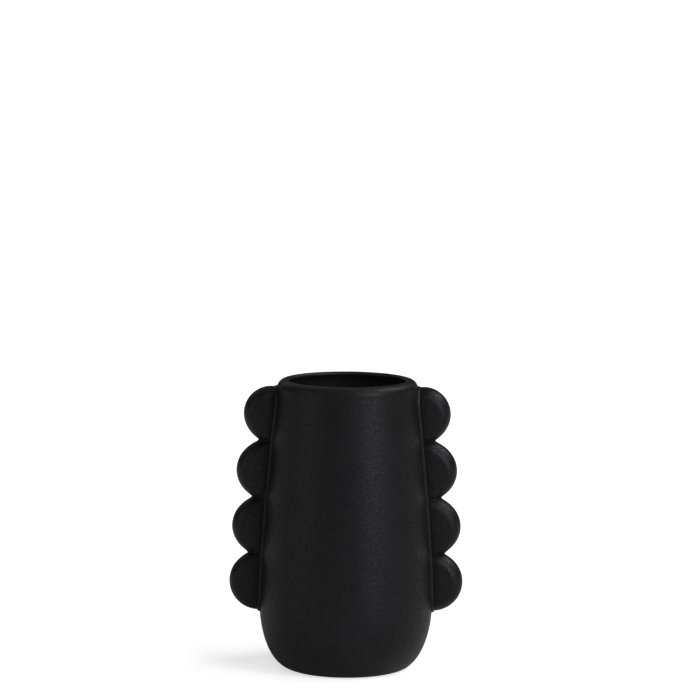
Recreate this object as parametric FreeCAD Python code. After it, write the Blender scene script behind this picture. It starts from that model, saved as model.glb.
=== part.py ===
import FreeCAD, Part
import os

from FreeCAD import Vector

# A stoneware vase with a wide round mouth and a scalloped handle down each side.
# Origin at the centre of the foot, +Z up through the mouth, the two handles out along -X and +X.
# All sizes are in millimetres.

# Body: outside
HEIGHT = 200.0
FOOT_RADIUS = 39.0
BELLY_RADIUS = 60.0
BELLY_HEIGHT = 46.0
RIM_RADIUS = 48.0
RIM_LEAN = 0.105          # inward run of the wall per millimetre of rise, at the rim
BELLY_STIFFNESS = 26.0    # how far the wall stays upright above the belly
RIM_STIFFNESS = 80.0      # how far the wall stays straight below the rim

# Body: inside
MOUTH_RADIUS = 39.9
HOLLOW_RADIUS = 53.5
HOLLOW_BELLY_HEIGHT = 50.0
FLOOR_RADIUS = 30.0
FLOOR_HEIGHT = 8.0
HOLLOW_STIFFNESS = 30.0
NECK_STIFFNESS = 70.0

# Lip and foot ring
LIP_OUTER_ROUND = 4.5
LIP_INNER_ROUND = 3.3
FOOT_RING_INNER_RADIUS = 32.0
FOOT_RECESS_DEPTH = 3.0
FOOT_RECESS_TAPER = 2.5

# Backing strip of each handle
STRIP_THICKNESS = 2.0
STRIP_HALF_WIDTH = 13.0
STRIP_TOP = 195.6
STRIP_BOTTOM = 37.8
STRIP_EDGE_ROUND = 1.2

# Lobes of each handle, from the top one down: height of the centre, radius of the outline,
# and the vase's half-width over the pair of lobes
LOBES = (
    (175.1, 19.6, 71.3),
    (137.4, 20.7, 76.2),
    (98.4, 20.7, 79.0),
    (59.8, 21.1, 80.8),
)
CREASE_HEIGHTS = (157.6, 118.0, 79.6)
LOBE_HALF_THICKNESS = 11.0
LOBE_SHOULDER_ROUND = 10.0

# Working room past the ends of the solids that trim others, and how closely edges are told apart
MARGIN = 20.0
TOLERANCE = 0.001

PARTS_FOLDER = "parts"
ORIGIN = Vector(0, 0, 0)
X_AXIS = Vector(1, 0, 0)
Y_AXIS = Vector(0, 1, 0)
Z_AXIS = Vector(0, 0, 1)


def at(radius, height):
    """A point of the half section, which lies in the XZ plane."""
    return Vector(radius, 0, height)


def line(start, end):
    return Part.LineSegment(start, end).toShape()


def bezier(points):
    curve = Part.BezierCurve()
    curve.setPoles(points)
    return curve.toShape()


def quarter_ellipse(foot, belly):
    """The quarter of an ellipse that leaves foot level and reaches belly upright."""
    ellipse = Part.Ellipse(foot, belly, at(foot.x, belly.z))
    ends = sorted([ellipse.parameter(foot), ellipse.parameter(belly)])
    return Part.ArcOfEllipse(ellipse, *ends).toShape()


def turned(edges):
    """The solid of revolution about Z of a closed half section, with its seam turned to -X."""
    outline = Part.Wire(Part.__sortEdges__(edges))
    solid = Part.Face(outline).revolve(ORIGIN, Z_AXIS, 360)
    return solid.rotated(ORIGIN, Z_AXIS, 180)


def outer_form(allowance):
    """The vase's outside as one solid block, with the given allowance added to its radius."""
    foot = at(FOOT_RADIUS + allowance, 0)
    belly = at(BELLY_RADIUS + allowance, BELLY_HEIGHT)
    rim = at(RIM_RADIUS + allowance, HEIGHT)
    upright = at(belly.x, BELLY_HEIGHT + BELLY_STIFFNESS)
    leaning = at(rim.x + RIM_LEAN * RIM_STIFFNESS, HEIGHT - RIM_STIFFNESS)
    return turned([
        line(ORIGIN, foot),
        quarter_ellipse(foot, belly),
        bezier([belly, upright, leaning, rim]),
        line(rim, at(0, HEIGHT)),
        line(at(0, HEIGHT), ORIGIN),
    ])


def hollow():
    """The space inside the vase, open at the mouth."""
    floor = at(FLOOR_RADIUS, FLOOR_HEIGHT)
    belly = at(HOLLOW_RADIUS, HOLLOW_BELLY_HEIGHT)
    mouth = at(MOUTH_RADIUS, HEIGHT)
    upright = at(belly.x, HOLLOW_BELLY_HEIGHT + HOLLOW_STIFFNESS)
    leaning = at(mouth.x + RIM_LEAN * NECK_STIFFNESS, HEIGHT - NECK_STIFFNESS)
    return turned([
        line(at(0, FLOOR_HEIGHT), floor),
        quarter_ellipse(floor, belly),
        bezier([belly, upright, leaning, mouth]),
        line(mouth, at(0, HEIGHT)),
        line(at(0, HEIGHT), at(0, FLOOR_HEIGHT)),
    ])


def foot_recess():
    """The shallow turned recess that leaves a foot ring to stand on."""
    return Part.makeCone(
        FOOT_RING_INNER_RADIUS, FOOT_RING_INNER_RADIUS - FOOT_RECESS_TAPER, FOOT_RECESS_DEPTH)


def rim_edge(solid, radius):
    """The round edge of the given radius in the plane of the rim."""
    for edge in solid.Edges:
        round_edge = isinstance(edge.Curve, Part.Circle) and abs(edge.Curve.Radius - radius) < TOLERANCE
        if round_edge and abs(edge.Curve.Center.z - HEIGHT) < TOLERANCE:
            return edge
    raise ValueError("no rim edge of radius %.1f" % radius)


def vase_body():
    """The thrown shell: wall, floor, foot ring and rounded lip."""
    shell = outer_form(0).cut(hollow()).cut(foot_recess())
    shell = shell.makeFillet(LIP_OUTER_ROUND, [rim_edge(shell, RIM_RADIUS)])
    return shell.makeFillet(LIP_INNER_ROUND, [rim_edge(shell, MOUTH_RADIUS)])


def strip_prism():
    """A bar along +X whose section is the outline of the right strip, seen from the side."""
    low = STRIP_BOTTOM + STRIP_HALF_WIDTH
    high = STRIP_TOP - STRIP_HALF_WIDTH
    length = BELLY_RADIUS + MARGIN
    bar = Part.makeBox(length, 2 * STRIP_HALF_WIDTH, high - low, Vector(0, -STRIP_HALF_WIDTH, low))
    for height in (low, high):
        end = Part.makeCylinder(STRIP_HALF_WIDTH, length, Vector(0, 0, height), X_AXIS)
        bar = bar.fuse(end)
    return bar.removeSplitter()


def backing_strip():
    """The right strip: a thin round-edged band that follows the wall from the lip to the heel."""
    face_form = outer_form(STRIP_THICKNESS)
    strip = face_form.cut(outer_form(0)).common(strip_prism())
    skin = face_form.Shells[0]
    rim = []
    for edge in strip.Edges:
        middle = Part.Vertex(edge.valueAt((edge.FirstParameter + edge.LastParameter) / 2))
        if skin.distToShape(middle)[0] < TOLERANCE:
            rim.append(edge)
    return strip.makeFillet(STRIP_EDGE_ROUND, rim)


def lobe(number):
    """One right lobe: a thick rounded disc, cut flat at the creases and seated on the strip."""
    height, radius, half_width = LOBES[number]
    centre = Vector(half_width - radius, -LOBE_HALF_THICKNESS, height)
    disc = Part.makeCylinder(radius, 2 * LOBE_HALF_THICKNESS, centre, Y_AXIS)
    rims = [edge for edge in disc.Edges if isinstance(edge.Curve, Part.Circle)]
    disc = disc.makeFillet(LOBE_SHOULDER_ROUND, rims)
    top = CREASE_HEIGHTS[number - 1] if number > 0 else HEIGHT
    bottom = CREASE_HEIGHTS[number] if number < len(CREASE_HEIGHTS) else 0.0
    span = 2 * (BELLY_RADIUS + MARGIN)
    slab = Part.makeBox(span, span, top - bottom, Vector(0, -span / 2, bottom))
    return disc.common(slab).cut(outer_form(STRIP_THICKNESS))


def mirrored(shape):
    """The left handle's copy of a right handle's piece."""
    return shape.mirror(ORIGIN, X_AXIS)


def build():
    nodes = {"vase_body": vase_body()}
    strip = backing_strip()
    nodes["right_handle_strip"] = strip
    nodes["left_handle_strip"] = mirrored(strip)
    for number in range(len(LOBES)):
        pad = lobe(number)
        nodes["right_lobe_%d" % (number + 1)] = pad
        nodes["left_lobe_%d" % (number + 1)] = mirrored(pad)
    return nodes


def main():
    os.makedirs(PARTS_FOLDER, exist_ok=True)
    for name, shape in build().items():
        shape.exportStep(os.path.join(PARTS_FOLDER, name + ".step"))
        box = shape.BoundBox
        print("%-20s solids %d  valid %s  volume %9.1f mm3  height %.1f to %.1f mm" % (
            name, len(shape.Solids), shape.isValid(), shape.Volume, box.ZMin, box.ZMax))


main()
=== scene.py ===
import math

import bpy
import numpy as np
from mathutils import Euler, Matrix, Vector, noise


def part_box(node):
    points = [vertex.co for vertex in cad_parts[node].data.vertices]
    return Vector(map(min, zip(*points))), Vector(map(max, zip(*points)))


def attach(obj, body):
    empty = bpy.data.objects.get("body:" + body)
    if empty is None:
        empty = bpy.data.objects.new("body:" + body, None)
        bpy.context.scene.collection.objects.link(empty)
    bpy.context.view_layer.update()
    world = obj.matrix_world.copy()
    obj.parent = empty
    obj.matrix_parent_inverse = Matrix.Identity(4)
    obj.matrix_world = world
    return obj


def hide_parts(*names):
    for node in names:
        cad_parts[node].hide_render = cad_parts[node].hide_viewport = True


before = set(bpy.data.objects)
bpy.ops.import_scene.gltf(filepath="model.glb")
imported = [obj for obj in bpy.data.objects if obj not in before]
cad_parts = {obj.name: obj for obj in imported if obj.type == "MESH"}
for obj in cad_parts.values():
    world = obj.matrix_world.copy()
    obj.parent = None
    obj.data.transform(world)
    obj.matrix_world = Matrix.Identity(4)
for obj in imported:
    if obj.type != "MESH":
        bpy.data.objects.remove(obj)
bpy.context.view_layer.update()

# Looks of a matte black stoneware vase with a scalloped handle down each side.
# Metres, in the row's frame: origin at the centre of the foot, +Z up, handles along -X and +X.

MM = 0.001
body_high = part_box("vase_body")[1]

# ---------------------------------------------------------------- sizes of the body

# Outside
HEIGHT = body_high.z
BELLY_RADIUS = body_high.x
BELLY_HEIGHT = 46 * MM
FOOT_RADIUS = 39 * MM
RIM_RADIUS = 48 * MM
RIM_LEAN = 0.105                # inward run of the wall for each unit of rise, at the rim
BELLY_STIFFNESS = 26 * MM       # how far the wall stays upright above the belly
RIM_STIFFNESS = 80 * MM         # how far the wall stays straight below the rim

# Inside
MOUTH_RADIUS = 39.9 * MM
HOLLOW_RADIUS = 53.5 * MM
HOLLOW_BELLY_HEIGHT = 50 * MM
HOLLOW_FLOOR_RADIUS = 30 * MM
FLOOR_HEIGHT = 8 * MM
HOLLOW_STIFFNESS = 30 * MM
NECK_STIFFNESS = 70 * MM

# Lip and foot ring
LIP_OUTER_ROUND = 5.6 * MM
LIP_OUTER_DROP = 6.5 * MM
LIP_INNER_ROUND = 1.8 * MM
FOOT_RING_INNER_RADIUS = 32 * MM
FOOT_RECESS_DEPTH = 3 * MM
FOOT_EDGE_ROUND = 1.2 * MM

# Points that each curve of the half section is first drawn with
OUTER_HEEL_POINTS = 400
OUTER_SIDE_POINTS = 600
INNER_SIDE_POINTS = 500
INNER_HEEL_POINTS = 300
LIP_OUTER_POINTS = 40
LIP_INNER_POINTS = 30

# How far apart the body's rings of points stand, and how many points each ring has
OUTER_STEP = 1.35 * MM
LIP_STEP = 0.55 * MM
INNER_STEP = 5 * MM
BODY_SEGMENTS = 360
SHARP_ANGLE = math.radians(60)  # faces of any piece that meet at more than this keep a crisp edge

# Hand-made unevenness of the clay: (wavelength, depth) of each layer
CLAY_WAVES = ((42 * MM, 0.22 * MM), (14 * MM, 0.09 * MM), (4.5 * MM, 0.035 * MM))
CLAY_SHIFT = (17.3, -9.1, 4.7)  # from each layer's noise to the next, so that they don't line up
STEADY_HEIGHT = 4 * MM          # the body's unevenness fades out below this, so it stands flat

# The glaze thins towards the rim and leaves the foot bare: where each change starts and ends
LIP_THINNING = (3.2 * MM, 0.4 * MM)  # below the rim
FOOT_BARE = (0.6 * MM, 1.6 * MM)     # above the ground

# ---------------------------------------------------------------- sizes of the handles

# Strips: a soft bead round the edge, and the flat that the lobes stand on
STRIP_SINK = 0.6 * MM           # how far the back lies under the face of the wall
STRIP_EDGE_SINK = 0.3 * MM      # the same for the edge, where the bead rises
BEAD_CREST = 0.8 * MM           # from the strip's outline in to the top of the bead
BEAD_WIDTH = 1.9 * MM           # from the outline in to where the flat starts
BEAD_HEIGHT = 1.65 * MM
CREST_SPREAD = 0.3 * BEAD_WIDTH  # how far the thin glaze spreads to each side of the bead's top
STRIP_FLOOR = 0.7 * MM          # how far the flat stands off the wall
STRIP_AROUND = 620
STRIP_ACROSS = 30
STRIP_CROWDING = 2.2            # over 1, rows of points stand closer together at the outline

# Round pad of each lobe seen from the front, from the top one down: height of its centre, radius
LOBES = (
    (176.1 * MM, 18.9 * MM),
    (136.8 * MM, 19.6 * MM),
    (98.0 * MM, 19.3 * MM),
    (59.6 * MM, 20.4 * MM),
)
# Towards a neighbour a lobe's outline is an ellipse of these half axes, wider than its round pad
FLANK_LEVEL = 26 * MM
FLANK_UPRIGHT = 22.2 * MM

# Relief of a lobe: a domed pad with a round shoulder, over a thin core that fills up to the outline
PAD_HALF_THICKNESS = 10.9 * MM
PAD_SHOULDER = 7.8 * MM         # how far in from the outline the shoulder reaches
PAD_FULLNESS = 2.05             # 2 makes the shoulder a quarter ellipse, and more makes it squarer
PAD_CROWN = 1.3 * MM            # how much the face falls from its middle to the outline
PAD_DOME = 19 * MM              # how far in from the outline the face still rises
CORE_HALF_THICKNESS = 2.6 * MM
CORE_FULLNESS = 2.4
BLEND = 7                       # how sharply the pad takes over from the core
CREASE_SOFTNESS = 0.7 * MM      # how far the relief keeps off each crease
ROOT_DEPTH = 1.0 * MM           # how much thinner a lobe's half is at the strip
ROOT_WIDTH = 6 * MM
LOBE_SEAT = 0.2 * MM            # how far off the wall a lobe starts, under the face of the strip
CORE_LINE = 0.6 * FLANK_LEVEL   # from the tip in to the upright line that the clay draws in towards
LOBE_SLICES = 170
LOBE_AROUND = 131
LOBE_CROWDING = 0.8             # under 1, a slice's points stand closer together at the outer edge
TINY = 1e-6                     # keeps a division off zero

# ---------------------------------------------------------------- glaze

# Noise textures: scale, detail, roughness
MOTTLE = (55.0, 5.0, 0.6)
SPECKS = (1300.0, 2.0, 0.5)
PEBBLES = (900.0, 2.0, 0.5)
BODY_SEED = 0.0
HANDLE_SEED = 3.1
SEED_DRIFT = (1, 0.7, -1)       # which way a seed moves the textures

GLAZE_DARK = (0.0053, 0.0052, 0.0057, 1)
GLAZE_LIGHT = (0.0076, 0.0075, 0.0081, 1)
GLAZE_DARK_AT = 0.3
GLAZE_LIGHT_AT = 0.75
SPECK_COLOUR = (0.035, 0.034, 0.033, 1)
SPECK_RANGE = (0.66, 0.74)
SPECK_AMOUNT = (0.0, 0.5)
EDGE_COLOUR = (0.024, 0.0235, 0.0235, 1)
EDGE_AMOUNT = 0.5
BARE_COLOUR = (0.045, 0.039, 0.034, 1)
BARE_ROUGHNESS = 0.85

MOTTLE_RANGE = (0.3, 0.7)
MOTTLE_ROUGHNESS = (0.43, 0.49)
PEBBLE_RANGE = (0.35, 0.65)
PEBBLE_ROUGHNESS = (0.06, -0.06)
PEBBLE_SHINE = (0.145, 0.255)
SHINE_TINT = (0.945, 0.935, 1.0, 1)
PEBBLE_DEPTH = 0.2 * MM

# ---------------------------------------------------------------- studio

BLACK = (0, 0, 0, 1)
WHITE = (1, 1, 1, 1)
FLOOR_RADIUS = 45.0
FLOOR_SIDES = 96
FLOOR_COLOUR = (0.9, 0.9, 0.9, 1)
FLOOR_GLOW = 0.64

CAMERA_DISTANCE = 2.233
CAMERA_ELEVATION = math.radians(9.9)
CAMERA_SIGHT = 0.1037           # height on the vase's axis that the two sizes above are taken from
CAMERA_TILT = math.radians(6.933)
CAMERA_TURN = math.radians(-0.04)
CAMERA_ROLL = math.radians(0.455)
CAMERA_LENS = 166.3
CAMERA_SENSOR = 36
CAMERA_REACH = 100

# Soft lights: name, azimuth, elevation, spread in degrees, strength
LIGHTS = (
    ("key_low", 40, 14, 14, 0.71),
    ("key_high", 50, 34, 20, 0.95),
    ("top_right", 88, 56, 22, 0.42),
    ("front_high", -20, 56, 24, 0.12),
    ("front", 2, 33, 24, 0.18),
    ("left_low", -60, 14, 16, 0.29),
    ("left_high", -78, 32, 20, 0.12),
    ("back_right", 116, 44, 22, 0.78),
    ("back_left", -150, 40, 60, 0.22),
)


# ---------------------------------------------------------------- curves of the half section

def bezier(p0, p1, p2, p3, count):
    t = np.linspace(0, 1, count)[:, None]
    p0, p1, p2, p3 = (np.array(p, float) for p in (p0, p1, p2, p3))
    return (1 - t) ** 3 * p0 + 3 * (1 - t) ** 2 * t * p1 + 3 * (1 - t) * t ** 2 * p2 + t ** 3 * p3


def ellipse_arc(centre, radii, start, end, count):
    a = np.radians(np.linspace(start, end, count))[:, None]
    return np.array(centre) + np.hstack([radii[0] * np.cos(a), radii[1] * np.sin(a)])


def resampled(points, step):
    """The same line with its points evenly spaced, about one step apart."""
    lengths = np.concatenate([[0], np.cumsum(np.linalg.norm(np.diff(points, axis=0), axis=1))])
    count = max(3, int(round(lengths[-1] / step)) + 1)
    even = np.linspace(0, lengths[-1], count)
    return np.stack([np.interp(even, lengths, points[:, i]) for i in (0, 1)], axis=1)


def outer_wall():
    """Radius and height up the outside, from the foot to the plane of the rim."""
    heel = ellipse_arc(
        (FOOT_RADIUS, BELLY_HEIGHT),
        (BELLY_RADIUS - FOOT_RADIUS, BELLY_HEIGHT),
        -90, 0, OUTER_HEEL_POINTS)
    side = bezier(
        (BELLY_RADIUS, BELLY_HEIGHT),
        (BELLY_RADIUS, BELLY_HEIGHT + BELLY_STIFFNESS),
        (RIM_RADIUS + RIM_LEAN * RIM_STIFFNESS, HEIGHT - RIM_STIFFNESS),
        (RIM_RADIUS, HEIGHT),
        OUTER_SIDE_POINTS)
    return np.vstack([heel, side[1:]])


def inner_wall():
    """Radius and height down the inside, from the plane of the rim to the floor's flat."""
    side = bezier(
        (MOUTH_RADIUS, HEIGHT),
        (MOUTH_RADIUS + RIM_LEAN * NECK_STIFFNESS, HEIGHT - NECK_STIFFNESS),
        (HOLLOW_RADIUS, HOLLOW_BELLY_HEIGHT + HOLLOW_STIFFNESS),
        (HOLLOW_RADIUS, HOLLOW_BELLY_HEIGHT),
        INNER_SIDE_POINTS)
    heel = ellipse_arc(
        (HOLLOW_FLOOR_RADIUS, HOLLOW_BELLY_HEIGHT),
        (HOLLOW_RADIUS - HOLLOW_FLOOR_RADIUS, HOLLOW_BELLY_HEIGHT - FLOOR_HEIGHT),
        0, -90, INNER_HEEL_POINTS)
    return np.vstack([side, heel[1:]])


WALL = outer_wall()


def wall_radius(height):
    return np.interp(height, WALL[:, 1], WALL[:, 0])


def rounded_lip():
    """The lip over the top: out along the outer round, across, and in along the inner round."""
    lean = math.degrees(math.atan(RIM_LEAN))
    start = HEIGHT - LIP_OUTER_DROP
    outer = (wall_radius(start) - LIP_OUTER_ROUND, start)
    outer_round = ellipse_arc(outer, (LIP_OUTER_ROUND, LIP_OUTER_DROP), lean, 90, LIP_OUTER_POINTS)
    inner = (MOUTH_RADIUS + LIP_INNER_ROUND, HEIGHT - LIP_INNER_ROUND)
    inner_round = ellipse_arc(inner, (LIP_INNER_ROUND,) * 2, 90, 180 + lean, LIP_INNER_POINTS)
    return np.vstack([outer_round, inner_round])


def foot_underside():
    """Radius and height under the foot: out over the recess, down its side and over the ring."""
    recess = FOOT_RING_INNER_RADIUS - FOOT_RECESS_DEPTH
    return np.array([
        (0, FOOT_RECESS_DEPTH),
        (recess / 2, FOOT_RECESS_DEPTH),
        (recess - FOOT_EDGE_ROUND, FOOT_RECESS_DEPTH),
        (recess, FOOT_RECESS_DEPTH - FOOT_EDGE_ROUND * 0.3),
        (FOOT_RING_INNER_RADIUS - FOOT_EDGE_ROUND / 2, FOOT_EDGE_ROUND / 2),
        (FOOT_RING_INNER_RADIUS + FOOT_EDGE_ROUND / 2, 0),
        (FOOT_RADIUS - FOOT_EDGE_ROUND, 0),
    ])


def body_section():
    """The whole half section, from the axis under the foot round to the axis on the floor."""
    wall = WALL[WALL[:, 1] < HEIGHT - LIP_OUTER_DROP]
    inside = inner_wall()
    inside = inside[inside[:, 1] < HEIGHT - LIP_INNER_ROUND]
    return np.vstack([
        foot_underside(),
        resampled(wall, OUTER_STEP),
        resampled(rounded_lip(), LIP_STEP),
        resampled(inside, INNER_STEP),
        np.array([(HOLLOW_FLOOR_RADIUS / 2, FLOOR_HEIGHT), (0, FLOOR_HEIGHT)]),
    ])


# ---------------------------------------------------------------- mesh helpers

def smoothstep(x, low, high):
    t = np.clip((x - low) / (high - low), 0, 1)
    return t * t * (3 - 2 * t)


def clay_offset(points):
    """How far the clay's surface stands in from its ideal shape at each point: never outward."""
    depths = np.zeros(len(points))
    for layer, (wavelength, depth) in enumerate(CLAY_WAVES):
        shift = Vector(CLAY_SHIFT) * layer
        values = [noise.noise(Vector(p) / wavelength + shift) for p in points]
        depths += depth * (np.clip(np.array(values), -1, 1) - 1) / 2
    return depths


def new_object(name, data):
    """An object in the scene, made from a mesh, a camera or a light."""
    made = bpy.data.objects.new(name, data)
    bpy.context.scene.collection.objects.link(made)
    return made


def make_piece(name, points, faces, nodes):
    """A smooth-shaded mesh object that rides on the vase and stands for the given CAD nodes."""
    mesh = bpy.data.meshes.new(name)
    mesh.from_pydata([tuple(p) for p in points], [], faces)
    mesh.validate()
    mesh.polygons.foreach_set("use_smooth", np.ones(len(mesh.polygons), bool))
    mesh.set_sharp_from_angle(angle=SHARP_ANGLE)
    mesh.update()
    piece = new_object(name, mesh)
    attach(piece, "root")
    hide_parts(*nodes)
    return piece


def paint(piece, name, values):
    """Keeps one number per point on the mesh, for the material to read."""
    attribute = piece.data.attributes.new(name, "FLOAT", "POINT")
    attribute.data.foreach_set("value", np.asarray(values, np.float32))


def grid_faces(rows, columns, closed):
    """Quads between neighbouring rows of points; closed joins the last column to the first."""
    faces = []
    last = columns if closed else columns - 1
    for row in range(rows - 1):
        for column in range(last):
            after = (column + 1) % columns
            faces.append((
                row * columns + column, row * columns + after,
                (row + 1) * columns + after, (row + 1) * columns + column))
    return faces


def facing(side, faces):
    """The faces as they stand on the right, or turned over for the mirrored left."""
    if side > 0:
        return faces
    return [tuple(reversed(face)) for face in faces]


# ---------------------------------------------------------------- body

def turned_points(rings):
    """The points of the turned surface, ring by ring, with the clay's unevenness."""
    angles = np.arange(BODY_SEGMENTS) * 2 * math.pi / BODY_SEGMENTS
    around = np.tile(angles, len(rings))
    radius = np.repeat(rings[:, 0], BODY_SEGMENTS)
    height = np.repeat(rings[:, 1], BODY_SEGMENTS)
    points = np.stack([radius * np.cos(around), radius * np.sin(around), height], axis=1)

    # The clay moves along the section's normal, and not at all on the ring that it stands on
    run = np.gradient(rings, axis=0)
    normal = np.stack([run[:, 1], -run[:, 0]], axis=1)
    normal /= np.linalg.norm(normal, axis=1)[:, None]
    normal = np.repeat(normal, BODY_SEGMENTS, axis=0)
    depth = clay_offset(points) * smoothstep(height, 0, STEADY_HEIGHT)
    points[:, 0] += depth * normal[:, 0] * np.cos(around)
    points[:, 1] += depth * normal[:, 0] * np.sin(around)
    points[:, 2] += depth * normal[:, 1]
    return points


def make_body():
    section = body_section()
    rings = section[1:-1]
    points = turned_points(rings)
    poles = [(0, 0, section[0, 1]), (0, 0, section[-1, 1])]
    faces = grid_faces(len(rings), BODY_SEGMENTS, True)
    under, over = len(points), len(points) + 1
    last = (len(rings) - 1) * BODY_SEGMENTS
    for column in range(BODY_SEGMENTS):
        after = (column + 1) % BODY_SEGMENTS
        faces.append((under, after, column))
        faces.append((over, last + column, last + after))
    points = np.vstack([points, poles])
    body = make_piece("body_fired", points, faces, ["vase_body"])

    height = np.repeat(rings[:, 1], BODY_SEGMENTS)
    edge = smoothstep(height, HEIGHT - LIP_THINNING[0], HEIGHT - LIP_THINNING[1])
    bare = 1 - smoothstep(height, *FOOT_BARE)
    at_poles = [0, 0]
    paint(body, "edge", np.append(edge, at_poles))
    paint(body, "bare", np.append(bare, at_poles))
    return body


# ---------------------------------------------------------------- handle strips

def strip_profile(inset):
    """How far the strip stands off the wall, by the distance in from its outline: bead, then flat."""
    rise = np.sqrt(1 - (1 - np.clip(inset / BEAD_CREST, 0, 1)) ** 2)
    fall = smoothstep(inset, BEAD_CREST, BEAD_WIDTH)
    return (BEAD_HEIGHT + STRIP_EDGE_SINK) * rise - STRIP_EDGE_SINK - (BEAD_HEIGHT - STRIP_FLOOR) * fall


def strip_plan(low_z, high_z, half_width, across):
    """The strip seen from the side: for each distance in from its outline, a ring of (y, z)."""
    low_centre, high_centre = low_z + half_width, high_z - half_width
    straight = high_z - low_z - 2 * half_width
    # Distances run round the outline from the middle of its top end
    turn = math.pi * half_width
    outline = np.linspace(0, 2 * turn + 2 * straight, STRIP_AROUND, endpoint=False)

    rows = []
    for reach in half_width - across:
        ring = []
        for s in outline:
            if s < turn / 2:
                a = math.pi / 2 - s / half_width
                y, z = reach * math.cos(a), high_centre + reach * math.sin(a)
            elif s < turn / 2 + straight:
                y, z = reach, high_centre - (s - turn / 2)
            elif s < turn * 1.5 + straight:
                a = -(s - turn / 2 - straight) / half_width
                y, z = reach * math.cos(a), low_centre + reach * math.sin(a)
            elif s < turn * 1.5 + 2 * straight:
                y, z = -reach, low_centre + (s - turn * 1.5 - straight)
            else:
                a = math.pi - (s - turn * 1.5 - 2 * straight) / half_width
                y, z = reach * math.cos(a), high_centre + reach * math.sin(a)
            ring.append((y, z))
        rows.append(ring)
    return np.array(rows)


def on_wall(side, radius, y, z):
    """Points on one side of the vase at the given distance from its axis."""
    x = np.sqrt(np.maximum(radius ** 2 - y ** 2, 0))
    return np.stack([side * x, y, z], axis=1)


def make_strip(side, name, cad_node):
    low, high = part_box(cad_node)
    half_width = high.y
    across = (np.linspace(0, 1, STRIP_ACROSS) ** STRIP_CROWDING) * half_width
    plan = strip_plan(low.z, high.z, half_width, across)
    inset = np.repeat(across, STRIP_AROUND)
    y, z = plan[:, :, 0].ravel(), plan[:, :, 1].ravel()

    front_points = on_wall(side, wall_radius(z) + strip_profile(inset), y, z)
    front_points[:, 0] += side * clay_offset(front_points)
    back_points = on_wall(side, wall_radius(z) - STRIP_SINK, y, z)
    count = len(front_points)
    front = grid_faces(STRIP_ACROSS, STRIP_AROUND, True)
    back = [tuple(i + count for i in reversed(face)) for face in front]
    rim = []
    for i in range(STRIP_AROUND):
        after = (i + 1) % STRIP_AROUND
        rim.append((i, i + count, after + count, after))
    points = np.vstack([front_points, back_points])
    faces = facing(side, front + back + rim)
    strip = make_piece(name, points, faces, [cad_node])

    crest = np.exp(-((inset - BEAD_CREST) / CREST_SPREAD) ** 2)
    paint(strip, "edge", np.concatenate([crest, np.zeros(count)]))
    return strip


# ---------------------------------------------------------------- handle lobes

def outline_axes(z, number):
    """Half axes, level and upright, of the outline of a lobe seen from the front."""
    height, radius = LOBES[number]
    free = np.where(z > height, number == 0, number == len(LOBES) - 1)
    return np.where(free, radius, FLANK_LEVEL), np.where(free, radius, FLANK_UPRIGHT)


def outline_reach(z, tip, number):
    """How far the edge of a lobe stands from the vase's axis at each height."""
    level, upright = outline_axes(z, number)
    rise = np.clip((z - LOBES[number][0]) / upright, -1, 1)
    return tip - level * (1 - np.sqrt(1 - rise ** 2))


def outline_inset(x, z, tip, number):
    """Roughly how far each point of a lobe's face lies inside its outline."""
    level, upright = outline_axes(z, number)
    across, up = x - (tip - level), z - LOBES[number][0]
    out = np.hypot(across / level, up / upright)
    slope = np.hypot(across / level ** 2, up / upright ** 2)
    return np.maximum(1 - out, 0) * out / np.maximum(slope, TINY)


def softened(z, low, high, number):
    """The heights kept a little off each crease, so that the notch there is rounded."""
    if number < len(LOBES) - 1:
        z = low + np.hypot(z - low, CREASE_SOFTNESS)
    if number > 0:
        z = high - np.hypot(high - z, CREASE_SOFTNESS)
    return z


def lobe_relief(inset, depth_share):
    """Half the lobe's thickness at each point of its face: a domed pad over a thinner core."""
    over = 1 - np.clip(inset / PAD_SHOULDER, 0, 1)
    dome = (1 - np.clip(inset / PAD_DOME, 0, 1)) ** 2
    pad = (PAD_HALF_THICKNESS - PAD_CROWN * dome) * (1 - over ** PAD_FULLNESS) ** (1 / PAD_FULLNESS)
    core = CORE_HALF_THICKNESS * (1 - depth_share ** CORE_FULLNESS) ** (1 / CORE_FULLNESS)
    return (pad ** BLEND + core ** BLEND) ** (1 / BLEND)


def slice_heights(low_z, high_z, number):
    """Heights of a lobe's level slices, closer together at its ends and none past a free end."""
    height, radius = LOBES[number]
    s = np.linspace(-0.5, 0.5, LOBE_SLICES)
    level = (low_z + high_z) / 2 + (high_z - low_z) / 2 * np.sin(math.pi * s)
    if number == 0:
        level = np.minimum(level, height + radius)
    if number == len(LOBES) - 1:
        level = np.maximum(level, height - radius)
    return level


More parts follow.
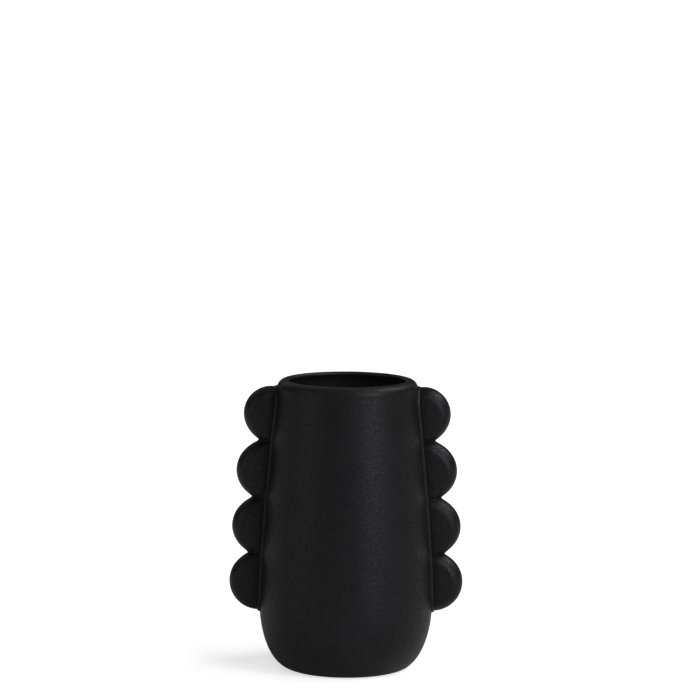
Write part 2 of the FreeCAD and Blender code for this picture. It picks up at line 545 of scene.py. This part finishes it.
def lobe_points(side, number, low, high):
    """The points of a lobe, slice by slice: out along its front, round its edge, in along its back."""
    tip = max(abs(low.x), abs(high.x))
    level = slice_heights(low.z, high.z, number)
    soft = softened(level, low.z, high.z, number)
    root = wall_radius(level) + LOBE_SEAT
    reach = np.maximum(outline_reach(soft, tip, number) - root, 0)

    a = np.linspace(-math.pi / 2, math.pi / 2, LOBE_AROUND)
    share = np.cos(a)[None, :] ** LOBE_CROWDING
    depth = reach[:, None] * share
    x = root[:, None] + depth
    z = np.repeat(level[:, None], LOBE_AROUND, axis=1)
    soft_z = np.repeat(soft[:, None], LOBE_AROUND, axis=1)
    near_root = (1 - np.clip(depth / ROOT_WIDTH, 0, 1)) ** 2
    half = lobe_relief(outline_inset(x, soft_z, tip, number), share)
    half *= 1 - ROOT_DEPTH / PAD_HALF_THICKNESS * near_root
    y = half * np.sign(a)[None, :]
    # The wall curves away from the flat root, so the root follows it
    curve = wall_radius(level)[:, None]
    x = x - (curve - np.sqrt(curve ** 2 - y ** 2)) * near_root
    points = np.stack([side * x, y, z], axis=2).reshape(-1, 3)

    outward = points - np.array([side * (tip - CORE_LINE), 0, 0])
    outward[:, 2] = 0
    outward /= np.maximum(np.linalg.norm(outward, axis=1), MM)[:, None]
    return points + outward * clay_offset(points)[:, None]


def make_lobe(side, number, name, cad_node):
    low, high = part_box(cad_node)
    points = lobe_points(side, number, low, high)
    faces = grid_faces(LOBE_SLICES, LOBE_AROUND, False)
    # The root closes each slice from its back to its front, and a flat closes each end
    for row in range(LOBE_SLICES - 1):
        first, above = row * LOBE_AROUND, (row + 1) * LOBE_AROUND
        faces.append((first + LOBE_AROUND - 1, first, above, above + LOBE_AROUND - 1))
    faces.append(tuple(range(LOBE_AROUND - 1, -1, -1)))
    top_row = (LOBE_SLICES - 1) * LOBE_AROUND
    faces.append(tuple(top_row + i for i in range(LOBE_AROUND)))
    lobe = make_piece(name, points, facing(side, faces), [cad_node])
    paint(lobe, "edge", np.zeros(len(points)))
    return lobe


# ---------------------------------------------------------------- shader helpers

# A mix node's sockets for colours and for plain values: first input, second input, result
MIX_SOCKETS = {"RGBA": (6, 7, 2), "FLOAT": (2, 3, 0)}


def shader_node(tree, kind, **values):
    """A new node, with the inputs or the settings of those names set."""
    made = tree.nodes.new(kind)
    for key, value in values.items():
        if key in made.inputs:
            made.inputs[key].default_value = value
        else:
            setattr(made, key, value)
    return made


def new_material(name):
    """A material, and the tree and the main shader in it."""
    material = bpy.data.materials.new(name)
    material.use_nodes = True
    tree = material.node_tree
    return material, tree, tree.nodes["Principled BSDF"]


def noise_texture(tree, place, scale, detail, roughness):
    texture = shader_node(
        tree, "ShaderNodeTexNoise", Scale=scale, Detail=detail, Roughness=roughness)
    tree.links.new(place, texture.inputs["Vector"])
    return texture.outputs["Fac"]


def painted(tree, name):
    """The number that each point of the mesh keeps under that name."""
    attribute = shader_node(tree, "ShaderNodeAttribute", attribute_name=name)
    return attribute.outputs["Fac"]


def mapped(tree, value, source, target):
    """The value carried over from one range to another, and held at its ends."""
    limits = ("From Min", "From Max", "To Min", "To Max")
    mapping = shader_node(tree, "ShaderNodeMapRange", **dict(zip(limits, source + target)))
    tree.links.new(value, mapping.inputs["Value"])
    return mapping.outputs["Result"]


def mixed(tree, kind, amount, first, second):
    """A linked colour or value that turns into a fixed one as the amount grows."""
    start, end, result = MIX_SOCKETS[kind]
    mix = shader_node(tree, "ShaderNodeMix", data_type=kind)
    tree.links.new(amount, mix.inputs["Factor"])
    tree.links.new(first, mix.inputs[start])
    mix.inputs[end].default_value = second
    return mix.outputs[result]


def scaled(tree, value, factor):
    product = shader_node(tree, "ShaderNodeMath", operation="MULTIPLY")
    tree.links.new(value, product.inputs[0])
    product.inputs[1].default_value = factor
    return product.outputs[0]


def added(tree, first, second):
    total = shader_node(tree, "ShaderNodeMath", operation="ADD")
    tree.links.new(first, total.inputs[0])
    tree.links.new(second, total.inputs[1])
    return total.outputs[0]


def seen_by_camera(tree):
    """One where the camera looks straight at a surface, and nought for all other light."""
    return shader_node(tree, "ShaderNodeLightPath").outputs["Is Camera Ray"]


# ---------------------------------------------------------------- materials

def glaze_tone(tree, mottle):
    """The glaze's near black, a little lighter in patches."""
    tone = shader_node(tree, "ShaderNodeValToRGB")
    dark, light = tone.color_ramp.elements
    dark.position = GLAZE_DARK_AT
    dark.color = GLAZE_DARK
    light.position = GLAZE_LIGHT_AT
    light.color = GLAZE_LIGHT
    tree.links.new(mottle, tone.inputs["Fac"])
    return tone.outputs["Color"]


def glaze(name, seed):
    """Matte black glaze over dark stoneware: fine pebbled grain, soft mottling, lighter on edges."""
    material, tree, shader = new_material(name)
    link = tree.links.new
    place = shader_node(tree, "ShaderNodeTexCoord")
    shift = [seed * drift for drift in SEED_DRIFT]
    move = shader_node(tree, "ShaderNodeMapping", Location=shift)
    link(place.outputs["Object"], move.inputs["Vector"])
    mottle = noise_texture(tree, move.outputs["Vector"], *MOTTLE)
    speck = noise_texture(tree, move.outputs["Vector"], *SPECKS)
    pebble = noise_texture(tree, move.outputs["Vector"], *PEBBLES)
    bare = painted(tree, "bare")

    specks = mapped(tree, speck, SPECK_RANGE, SPECK_AMOUNT)
    specked = mixed(tree, "RGBA", specks, glaze_tone(tree, mottle), SPECK_COLOUR)
    thinned = scaled(tree, painted(tree, "edge"), EDGE_AMOUNT)
    edged = mixed(tree, "RGBA", thinned, specked, EDGE_COLOUR)
    link(mixed(tree, "RGBA", bare, edged, BARE_COLOUR), shader.inputs["Base Color"])

    broad = mapped(tree, mottle, MOTTLE_RANGE, MOTTLE_ROUGHNESS)
    fine = mapped(tree, pebble, PEBBLE_RANGE, PEBBLE_ROUGHNESS)
    grained = added(tree, broad, fine)
    link(mixed(tree, "FLOAT", bare, grained, BARE_ROUGHNESS), shader.inputs["Roughness"])

    # The tops of the pebbles shine more than the pits between them
    link(mapped(tree, pebble, PEBBLE_RANGE, PEBBLE_SHINE), shader.inputs["Specular IOR Level"])
    shader.inputs["Specular Tint"].default_value = SHINE_TINT

    bump = shader_node(tree, "ShaderNodeBump", Strength=1.0, Distance=PEBBLE_DEPTH)
    link(pebble, bump.inputs["Height"])
    link(bump.outputs["Normal"], shader.inputs["Normal"])
    return material


def floor_material():
    """Matte and pale, with a little glow that only the camera sees, so that the glow lights nothing."""
    material, tree, shader = new_material("studio_floor")
    shader.inputs["Base Color"].default_value = FLOOR_COLOUR
    shader.inputs["Roughness"].default_value = 1.0
    shader.inputs["Specular IOR Level"].default_value = 0.0
    glow = scaled(tree, seen_by_camera(tree), FLOOR_GLOW)
    tree.links.new(glow, shader.inputs["Emission Strength"])
    shader.inputs["Emission Color"].default_value = WHITE
    return material


# ---------------------------------------------------------------- floor, camera and lights

def make_floor():
    angles = [2 * math.pi * i / FLOOR_SIDES for i in range(FLOOR_SIDES)]
    points = [(FLOOR_RADIUS * math.cos(a), FLOOR_RADIUS * math.sin(a), 0) for a in angles]
    mesh = bpy.data.meshes.new("studio_floor")
    mesh.from_pydata(points, [], [tuple(range(FLOOR_SIDES))])
    floor = new_object("studio_floor", mesh)
    mesh.materials.append(floor_material())


def make_camera():
    data = bpy.data.cameras.new("camera")
    data.lens = CAMERA_LENS
    data.sensor_width = CAMERA_SENSOR
    data.clip_end = CAMERA_REACH
    camera = new_object("camera", data)
    camera.location = (
        0, -CAMERA_DISTANCE * math.cos(CAMERA_ELEVATION),
        CAMERA_SIGHT + CAMERA_DISTANCE * math.sin(CAMERA_ELEVATION))
    aim = Euler((math.pi / 2 - CAMERA_TILT, 0, CAMERA_TURN)).to_matrix()
    camera.rotation_euler = (aim @ Matrix.Rotation(CAMERA_ROLL, 3, "Z")).to_euler()
    bpy.context.scene.camera = camera


def soft_sun(name, azimuth, elevation, spread, strength):
    """A soft light from one direction. Azimuth 0 is the camera's side, 90 is +X."""
    data = bpy.data.lights.new(name, "SUN")
    data.energy = strength
    data.angle = math.radians(spread)
    light = new_object(name, data)
    a, e = math.radians(azimuth), math.radians(elevation)
    away = Vector((math.sin(a) * math.cos(e), -math.cos(a) * math.cos(e), math.sin(e)))
    light.rotation_euler = away.to_track_quat("Z", "Y").to_euler()


def make_world():
    """White where the camera sees it, and black for all other light, so that it lights nothing."""
    world = bpy.data.worlds.new("studio")
    bpy.context.scene.world = world
    world.use_nodes = True
    tree = world.node_tree
    start, end, result = MIX_SOCKETS["RGBA"]
    shade = shader_node(tree, "ShaderNodeMix", data_type="RGBA")
    shade.inputs[start].default_value = BLACK
    shade.inputs[end].default_value = WHITE
    tree.links.new(seen_by_camera(tree), shade.inputs["Factor"])
    tree.links.new(shade.outputs[result], tree.nodes["Background"].inputs["Color"])


def make_studio():
    make_floor()
    make_camera()
    bpy.context.scene.view_settings.view_transform = "Standard"
    make_world()
    for light in LIGHTS:
        soft_sun(*light)


# ---------------------------------------------------------------- build

def make_handle(side, word, handle_glaze):
    strip = make_strip(side, "%s_strip_fired" % word, "%s_handle_strip" % word)
    strip.data.materials.append(handle_glaze)
    for number in range(len(LOBES)):
        label = (word, number + 1)
        lobe = make_lobe(side, number, "%s_pad_%d" % label, "%s_lobe_%d" % label)
        lobe.data.materials.append(handle_glaze)


def main():
    body_glaze = glaze("matte_black_body", BODY_SEED)
    handle_glaze = glaze("matte_black_handle", HANDLE_SEED)
    make_body().data.materials.append(body_glaze)
    for side, word in ((-1, "left"), (1, "right")):
        make_handle(side, word, handle_glaze)
    make_studio()


main()
